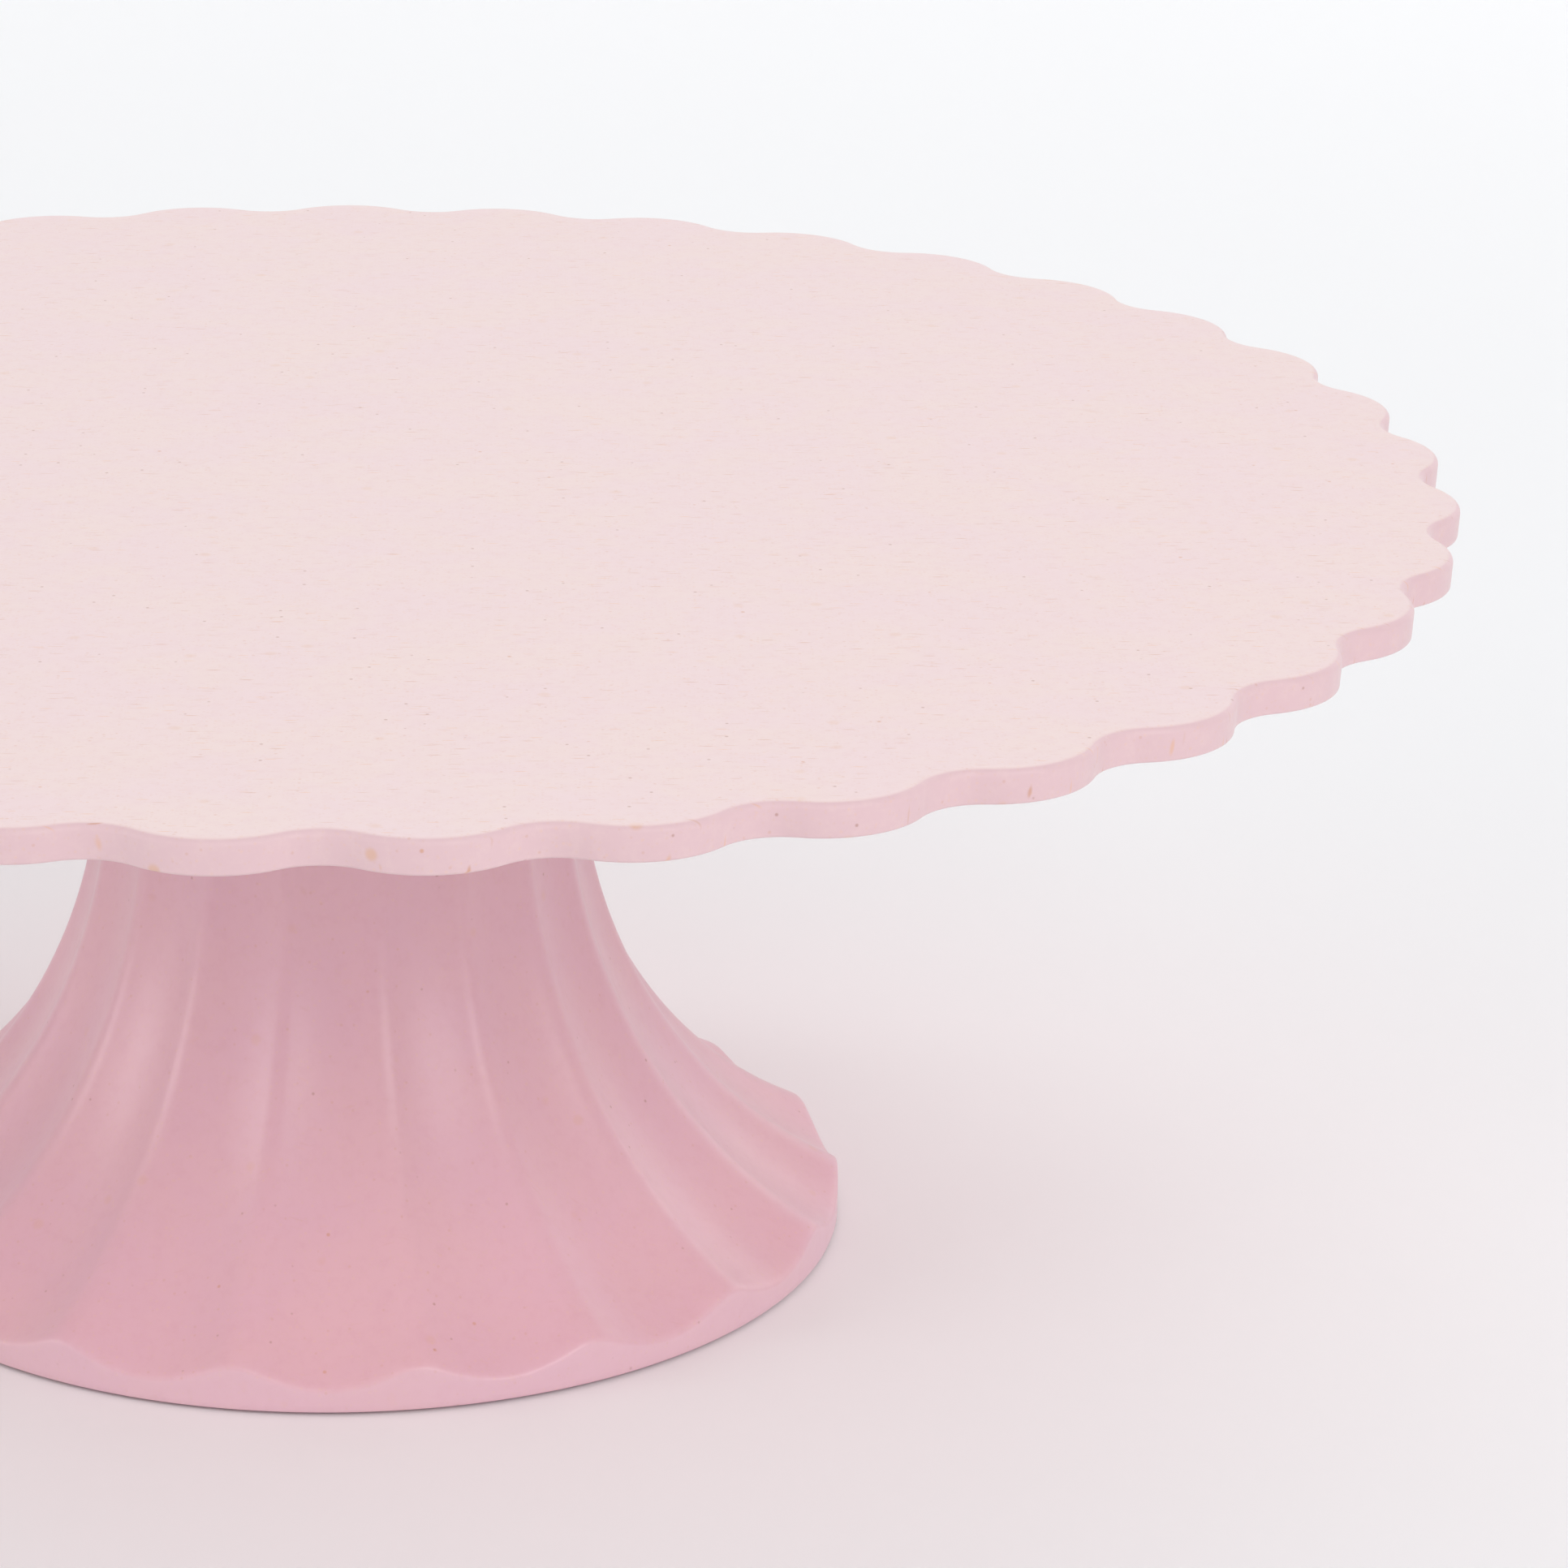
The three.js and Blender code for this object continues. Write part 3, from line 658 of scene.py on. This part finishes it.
def skin_radius(z, angles):
    """The fluted wall, run out softly into the plain bands of the foot and the head."""
    below = z < NECK_Z
    reach = FOOT_RADIUS if below else HEAD_RADIUS
    ridge = flare(NECK_RIDGE_RADIUS, reach, FOOT_RIDGE_Z if below else HEAD_RIDGE_Z, z)
    floor = flare(NECK_FLOOR_RADIUS, reach, FOOT_FLOOR_Z if below else HEAD_FLOOR_Z, z)
    wall = ridge + (floor - ridge) * flute_share(angles)
    return reach - LIP_ROUNDING * np.logaddexp(0, (reach - wall) / LIP_ROUNDING)


def inner_radius(z):
    below = z < NECK_Z
    reach = FOOT_RADIUS if below else HEAD_RADIUS
    floor = flare(NECK_FLOOR_RADIUS, reach, FOOT_FLOOR_Z if below else HEAD_FLOOR_Z, z)
    return min(FOOT_INNER_RADIUS, floor - WALL * (1 + abs(z - NECK_Z) / (2 * NECK_Z)))


def foot_profile(base):
    """(radius, z) from inside the anti-slip ring's groove out to the foot's edge."""
    grip_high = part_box("anti_slip_ring")[1]
    groove_out = grip_high.x / MM + HOLE_GAP
    groove_in = groove_out - GRIP_GROOVE_WIDTH
    groove_top = grip_high.z / MM + GAP
    chamfer = 0.3 * FOOT_EDGE
    return [(groove_in, base), (groove_in, groove_top), (groove_out, groove_top), (groove_out, base),
            (FOOT_RADIUS - FOOT_EDGE, base), (FOOT_RADIUS - chamfer, base + chamfer),
            (FOOT_RADIUS, base + FOOT_EDGE)]


def head_profile(head_top, deck_top, deck_under):
    """(radius, z) over the head's lip, down into the bearing's pocket and through the bush's hole."""
    bush_hole = BUSH_RADIUS + HOLE_GAP
    return [(HEAD_RADIUS, head_top - 0.9), (HEAD_RADIUS - 0.25, head_top - 0.25),
            (HEAD_RADIUS - 0.9, head_top), (POCKET_RADIUS + 0.5, head_top),
            (POCKET_RADIUS, head_top - 0.5), (POCKET_RADIUS, deck_top), (bush_hole, deck_top),
            (bush_hole, deck_under)]


def make_pedestal():
    angles = full_turn(FLUTES * SAMPLES_PER_FLUTE)
    base = bottom_of("pedestal")
    deck_top = bottom_of("lower_race") - GAP
    deck_under = top_of("pivot_bush") + GAP - DECK_THICKNESS
    rings = [circle(r, z, angles) for r, z in foot_profile(base)]
    heights = np.concatenate([np.arange(1.6, 10, 0.22), np.arange(10, 30, 0.7),
                              np.arange(30, 84, 1.8), np.arange(84, 96, 0.35)])
    rings += [circle(skin_radius(z, angles), z, angles) for z in heights]
    head = head_profile(top_of("pedestal"), deck_top, deck_under)
    rings += [circle(r, z, angles) for r, z in head]
    rings += [circle(inner_radius(z), z, angles) for z in np.linspace(deck_under, 6, 40)]
    rings += [circle(FOOT_INNER_RADIUS, z, angles) for z in (4.2, base)]
    pedestal = mesh_object("fine_pedestal", rings, closed=True)
    hole = plain_hole(INSERT_RADIUS + HOLE_GAP, deck_under - 1, deck_top + 1)
    drill(pedestal, [screw_hole(hole, a) for a in SCREW_ANGLES])
    stand_for(pedestal, "pedestal", "stand", "pedestal_melamine")


def make_anti_slip_ring():
    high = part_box("anti_slip_ring")[1] / MM
    inner = high.x - GRIP_WIDTH
    profile = rounded([(inner, 0), (high.x, 0), (high.x, high.z), (inner, high.z)], 0.45)
    ring = turned("fine_anti_slip_ring", profile, 240, closed=True)
    stand_for(ring, "anti_slip_ring", "stand", "grip_rubber")


# ---- Thrust bearing ------------------------------------------------------------------------------

def race_profile(outer, face, back, side):
    """A race's section (radius, z), with its ball groove in the face; side is +1 where that faces up."""
    lip = math.acos(RACE_FACE / GROOVE_RADIUS)
    groove = []
    for k in range(17):
        a = lip * (k / 8 - 1)
        groove.append((BALL_PITCH_RADIUS + GROOVE_RADIUS * math.sin(a),
                       face + side * (RACE_FACE - GROOVE_RADIUS * math.cos(a))))
    inner = RACE_INNER_RADIUS
    edge = RACE_EDGE
    if side > 0:
        return [(inner, back + edge), (inner + edge, back), (outer - edge, back), (outer, back + edge),
                (outer, face - edge), (outer - edge, face), *reversed(groove), (inner + edge, face),
                (inner, face - edge)]
    return [(inner, face + edge), (inner + edge, face), *groove, (outer - edge, face),
            (outer, face + edge), (outer, back - edge), (outer - edge, back), (inner + edge, back),
            (inner, back - edge)]


def make_race(node, body, side):
    """A ring with a ball groove; side is +1 where the groove opens upwards."""
    low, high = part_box(node)
    face, back = (high.z / MM, low.z / MM) if side > 0 else (low.z / MM, high.z / MM)
    profile = race_profile(high.x / MM, face, back, side)
    race = turned(f"fine_{node}", profile, TURNED_STEPS, closed=True)
    shank = SCREW_RADIUS + HOLE_GAP
    head = SCREW_HEAD_RADIUS + HOLE_GAP
    sink = [(0, -5), (shank, -5), (shank, -SCREW_HEAD_HEIGHT), (head, -HOLE_GAP), (head, 1), (0, 1)]
    placed = [(r, face + side * z) for r, z in sink]
    if side < 0:
        placed.reverse()
    drill(race, [screw_hole(placed, a) for a in SCREW_ANGLES])
    stand_for(race, node, body, "bearing_steel")


def ball_place(index):
    """The middle of a ball's place on the pitch circle, in metres."""
    angle = index * 2 * math.pi / BALLS
    return Vector((math.cos(angle), math.sin(angle), 0)) * BALL_PITCH_RADIUS * MM


def make_cage():
    low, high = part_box("ball_cage")
    inner, outer = CAGE_INNER_RADIUS, high.x / MM
    bottom, top = low.z / MM, high.z / MM
    profile = rounded([(inner, bottom), (outer, bottom), (outer, top), (inner, top)], 0.3)
    cage = turned("fine_ball_cage", profile, TURNED_STEPS, closed=True)
    holes = []
    for i in range(BALLS):
        hole = turned("cutter", plain_hole(CAGE_HOLE_RADIUS, bottom - 1, top + 1), SCREW_STEPS)
        hole.data.transform(Matrix.Translation(ball_place(i)))
        holes.append(hole)
    drill(cage, holes)
    stand_for(cage, "ball_cage", "ball_set", "cage_nylon")


def make_ball(number):
    node = f"ball_{number:02d}"
    low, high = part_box(node)
    profile = [(BALL_RADIUS * math.cos(a), BALL_RADIUS * math.sin(a)) for a in np.linspace(-1.57, 1.57, 25)]
    profile[0] = (0, -BALL_RADIUS)
    profile[-1] = (0, BALL_RADIUS)
    ball = turned(f"fine_{node}", profile, SCREW_STEPS)
    up = Vector((0, 0, (low.z + high.z) / 2))
    ball.data.transform(Matrix.Translation(ball_place(number - 1) + up))
    stand_for(ball, node, "ball_set", "ball_steel")


# ---- Screws, inserts and the pivot ---------------------------------------------------------------

def hexagon(radius, angles):
    """The radius, at each angle, of a hexagon with that radius at its corners."""
    sixth = np.pi / 3
    return radius * math.cos(sixth / 2) / np.cos((angles + sixth / 2) % sixth - sixth / 2)


def make_race_screw(node, body, side):
    """A countersunk socket screw; side is +1 where its head faces up."""
    low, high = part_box(node)
    middle = (low + high) / 2
    length = (high.z - low.z) / MM
    angles = full_turn(SCREW_STEPS)
    profile = [(0, -length), (1.0, -length), (SCREW_ROOT_RADIUS, -length + 0.35)]
    for k in range(17):
        z = -length + 0.5 + k * 0.25
        if z < -SCREW_HEAD_HEIGHT - 0.3:
            profile.append((SCREW_ROOT_RADIUS if k % 2 else SCREW_RADIUS, z))
    profile += [(SCREW_RADIUS, -SCREW_HEAD_HEIGHT), (SCREW_HEAD_RADIUS - 0.05, -0.25),
                (SCREW_HEAD_RADIUS, -0.15), (SCREW_HEAD_RADIUS - 0.08, 0), (1.45, 0),
                (hexagon(1.2, angles), -0.12), (hexagon(1.15, angles), -1.05), (0, -1.3)]
    screw = mesh_object(f"fine_{node}", [circle(r, z, angles) for r, z in profile])
    if side < 0:
        screw.data.transform(Matrix.Rotation(math.pi, 4, "X"))
    head = high.z if side > 0 else low.z
    screw.data.transform(Matrix.Translation((middle.x, middle.y, head)))
    stand_for(screw, node, body, "screw_steel")


def make_insert(node, body, inner, outer, knurls):
    """A brass sleeve with a knurled outside."""
    low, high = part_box(node)
    middle = (low + high) / 2
    bottom, top = low.z / MM, high.z / MM
    angles = full_turn(knurls * 4)
    knurled = outer - KNURL_DEPTH + KNURL_DEPTH * np.cos(knurls * angles)
    profile = [(inner, bottom + 0.3), (inner + 0.25, bottom), (outer - 0.35, bottom),
               (outer - 0.2, bottom + 0.2), (knurled, bottom + 0.5), (knurled, top - 0.5),
               (outer - 0.2, top - 0.2), (outer - 0.35, top), (inner + 0.25, top), (inner, top - 0.3)]
    rings = [circle(r, z, angles) for r, z in profile]
    insert = mesh_object(f"fine_{node}", rings, closed=True)
    insert.data.transform(Matrix.Translation((middle.x, middle.y, 0)))
    stand_for(insert, node, body, "insert_brass")


def make_shoulder_bolt():
    """A knurled socket head at the bottom, then the shoulder and the thread."""
    low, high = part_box("shoulder_bolt")
    bottom, top = low.z / MM, high.z / MM
    head_top = bottom + BOLT_HEAD_HEIGHT
    shoulder_top = top - BOLT_THREAD_LENGTH
    angles = full_turn(TURNED_STEPS)
    head = BOLT_HEAD_RADIUS
    knurled = head + 0.07 + 0.07 * np.cos(BOLT_KNURLS * angles)
    shoulder = BOLT_SHOULDER_RADIUS
    profile = [(0, bottom + 2.5), (hexagon(2.85, angles), bottom + 2.3),
               (hexagon(2.9, angles), bottom + 0.25), (3.25, bottom), (5.7, bottom),
               (head - 0.25, bottom + 0.12), (head, bottom + 0.5), (knurled, bottom + 0.9),
               (knurled, head_top - 0.4), (head, head_top - 0.15), (head - 0.25, head_top),
               (shoulder, head_top), (shoulder, shoulder_top - 0.3), (shoulder - 0.3, shoulder_top),
               (BOLT_ROOT_RADIUS, shoulder_top)]
    z = shoulder_top + 0.3
    while z < top - 0.6:
        profile += [(BOLT_ROOT_RADIUS, z), (BOLT_CREST_RADIUS, z + 0.5)]
        z += 1.0
    profile += [(BOLT_ROOT_RADIUS, top - 0.2), (2.2, top), (0, top)]
    bolt = mesh_object("fine_shoulder_bolt", [circle(r, z, angles) for r, z in profile])
    stand_for(bolt, "shoulder_bolt", "turning_plate", "screw_steel")


def make_bush():
    low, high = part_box("pivot_bush")
    bottom, top = low.z / MM, high.z / MM
    flange = high.x / MM
    shelf = bottom + BUSH_FLANGE
    profile = rounded([(BUSH_BORE, bottom), (flange, bottom), (flange, shelf), (BUSH_RADIUS, shelf),
                       (BUSH_RADIUS, top), (BUSH_BORE, top)], 0.3)
    bush = turned("fine_pivot_bush", profile, closed=True)
    stand_for(bush, "pivot_bush", "stand", "cage_nylon")


def make_flat_washer():
    low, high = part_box("flat_washer")
    bottom, top = low.z / MM, high.z / MM
    outer = high.x / MM
    profile = rounded([(WASHER_BORE, bottom), (outer, bottom), (outer, top), (WASHER_BORE, top)], 0.18)
    washer = turned("fine_flat_washer", profile, closed=True)
    stand_for(washer, "flat_washer", "turning_plate", "screw_steel")


def make_wave_washer():
    low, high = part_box("wave_washer")
    middle = (low.z + high.z) / 2 / MM
    outer = high.x / MM
    angles = full_turn(TURNED_STEPS)
    wave = WAVE_HEIGHT * np.sin(3 * angles)
    profile = rounded([(WASHER_BORE, -0.25), (outer, -0.25), (outer, 0.25), (WASHER_BORE, 0.25)], 0.1)
    rings = [circle(r, middle + z + wave, angles) for r, z in profile]
    washer = mesh_object("fine_wave_washer", rings, closed=True)
    stand_for(washer, "wave_washer", "turning_plate", "screw_steel")


# ---- Stage, lights and camera --------------------------------------------------------------------

def plain(name, colour, roughness):
    made = bpy.data.materials.new(name)
    made.use_nodes = True
    shader = made.node_tree.nodes["Principled BSDF"]
    shader.inputs["Base Color"].default_value = (*colour, 1)
    shader.inputs["Roughness"].default_value = roughness
    shader.inputs["Specular IOR Level"].default_value = 0.3
    return made


def make_floor():
    """A pale sheet that curves up behind the object."""
    half_width = 3.0
    front = -9.0
    back = 1.6
    bend = 0.8
    wall_top = 3.5
    section = [(front, 0.0), (back, 0.0)]
    for k in range(1, 17):
        a = k / 16 * math.pi / 2
        section.append((back + bend * math.sin(a), bend * (1 - math.cos(a))))
    section.append((back + bend, wall_top))
    points = [(x, y, z) for y, z in section for x in (-half_width, half_width)]
    faces = [(2 * i, 2 * i + 1, 2 * i + 3, 2 * i + 2) for i in range(len(section) - 1)]
    mesh = bpy.data.meshes.new("floor")
    mesh.from_pydata(points, [], faces)
    mesh.polygons.foreach_set("use_smooth", [True] * len(faces))
    floor = bpy.data.objects.new("floor", mesh)
    bpy.context.scene.collection.objects.link(floor)
    mesh.materials.append(plain("floor_paper", (0.93, 0.932, 0.937), 0.6))


def area_light(name, at, aim, size, power):
    data = bpy.data.lights.new(name, "AREA")
    data.shape = "RECTANGLE"
    data.size, data.size_y = size
    data.energy = power
    lamp = bpy.data.objects.new(name, data)
    lamp.location = at
    lamp.rotation_euler = (Vector(aim) - Vector(at)).to_track_quat("-Z", "Y").to_euler()
    bpy.context.scene.collection.objects.link(lamp)


def make_lights():
    world = bpy.data.worlds.new("studio")
    bpy.context.scene.world = world
    world.use_nodes = True
    background = world.node_tree.nodes["Background"]
    background.inputs["Color"].default_value = (0.97, 0.975, 1.0, 1)
    background.inputs["Strength"].default_value = 0.468
    middle = (0, 0, 0.05)
    area_light("overhead", (0.2, 0.1, 1.7), middle, (3.2, 2.6), 3.06)
    area_light("high_back", (0.2, 1.5, 1.7), middle, (2.2, 0.8), 8.75)
    area_light("front_top", (0, -1.2, 1.3), middle, (1.2, 0.6), 1.66)
    area_light("front_right", (0.8, -1.2, 0.85), middle, (1.0, 0.8), 9.06)
    area_light("left", (-1.8, -0.5, 0.7), middle, (1.0, 0.8), 7.45)
    area_light("high_left", (-1.4, 0.2, 1.2), middle, (1, 1), 0.87)
    area_light("high_right", (1.4, 0.2, 1.2), middle, (1, 1), 0.77)
    area_light("right_back", (1.1, 1.0, 0.5), middle, (0.9, 0.7), 1.7)
    area_light("backdrop_wash", (0, 1.4, 1.6), (0, 2.4, 0.5), (3, 0.5), 8.98)


def make_camera():
    """Stands and looks as the reference view does, through a long lens."""
    data = bpy.data.cameras.new("camera")
    data.lens = LENS_MM
    data.sensor_width = SENSOR_MM
    data.clip_start = 0.05
    turn = Matrix.Rotation(CAMERA_AZIMUTH, 3, "Z")
    target = Vector((0, 0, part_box("plate")[1].z))
    back = Vector((0, -math.cos(CAMERA_ELEVATION), math.sin(CAMERA_ELEVATION)))
    ahead = Vector((math.sin(LOOK_RIGHT) * math.cos(LOOK_DOWN),
                    math.cos(LOOK_RIGHT) * math.cos(LOOK_DOWN),
                    -math.sin(LOOK_DOWN)))
    right = Vector((math.cos(LOOK_RIGHT), -math.sin(LOOK_RIGHT), 0))
    up = right.cross(ahead)
    c, s = math.cos(LOOK_ROLL), math.sin(LOOK_ROLL)
    right, up = right * c + up * s, up * c - right * s
    axes = Matrix((turn @ right, turn @ up, turn @ -ahead)).transposed()
    camera = bpy.data.objects.new("camera", data)
    camera.matrix_world = Matrix.Translation(target + turn @ back * CAMERA_DISTANCE) @ axes.to_4x4()
    bpy.context.scene.collection.objects.link(camera)
    bpy.context.scene.camera = camera


# ---- Assembly ------------------------------------------------------------------------------------

make_camera()
make_plate()
make_pedestal()
make_anti_slip_ring()
make_race("lower_race", "stand", 1)
make_race("upper_race", "turning_plate", -1)
make_cage()
for number in range(1, BALLS + 1):
    make_ball(number)
for number in range(1, RACE_SCREWS + 1):
    make_race_screw(f"lower_race_screw_{number}", "stand", 1)
    make_race_screw(f"upper_race_screw_{number}", "turning_plate", -1)
    make_insert(f"deck_insert_{number}", "stand", INSERT_BORE, INSERT_RADIUS, INSERT_KNURLS)
    make_insert(f"plate_insert_{number}", "turning_plate", INSERT_BORE, INSERT_RADIUS, INSERT_KNURLS)
make_insert("centre_insert", "turning_plate", CENTRE_INSERT_BORE, CENTRE_INSERT_RADIUS,
            CENTRE_INSERT_KNURLS)
make_shoulder_bolt()
make_bush()
make_flat_washer()
make_wave_washer()
make_floor()
make_lights()
bpy.context.scene.view_settings.view_transform = "Standard"
